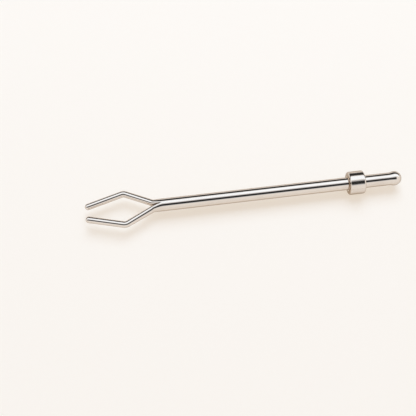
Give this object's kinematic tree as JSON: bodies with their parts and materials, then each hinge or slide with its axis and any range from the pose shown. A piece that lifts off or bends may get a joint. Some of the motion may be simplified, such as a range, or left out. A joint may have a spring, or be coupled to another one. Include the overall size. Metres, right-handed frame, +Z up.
{
  "type": "tweezer bodkin",
  "caption": "Polished steel bodkin with sprung wire jaws, a round rod, a sliding locking ring and a ball tip, for drawing elastic or cord through a casing.",
  "frame": {"origin": "middle of the tool's length, on the plane that the locking ring rests on, under the rod's axis", "axes": "+X along the rod from the jaws to the ball tip, +Z up, square to the plane in which the jaws open"},
  "size_m": [0.075, 0.0092, 0.0055],
  "materials": {
    "rod": "polished nickel-plated steel",
    "tip": "polished nickel-plated steel",
    "wire": "polished spring steel wire",
    "ring": "polished nickel-plated steel, turned"
  },
  "bodies": {
    "shaft": {"shaft_rod": "rod", "ball_tip": "tip", "left_wire": "wire", "right_wire": "wire"},
    "ring": {"locking_ring": "ring"},
    "left_arm": {"left_jaw": "wire"},
    "right_arm": {"right_jaw": "wire"}
  },
  "joints": [
    {"name": "ring_slide", "type": "slide", "parent": "shaft", "child": "ring", "axis": [-1, 0, 0], "range_m": [-0.0067, 0.0463]},
    {"name": "left_jaw_close", "type": "hinge", "parent": "shaft", "child": "left_arm", "pos_m": [-0.02136, -0.00077, 0.00275], "axis": [0, 0, -1], "range_deg": [0, 3.3], "stiffness_Nm_per_rad": 0.6},
    {"name": "right_jaw_close", "type": "hinge", "parent": "shaft", "child": "right_arm", "pos_m": [-0.02136, 0.00077, 0.00275], "axis": [0, 0, 1], "range_deg": [0, 3.3], "stiffness_Nm_per_rad": 0.6}
  ],
  "couplings": [
    {"joint": "right_jaw_close", "follows": "left_jaw_close", "ratio": 1}
  ]
}
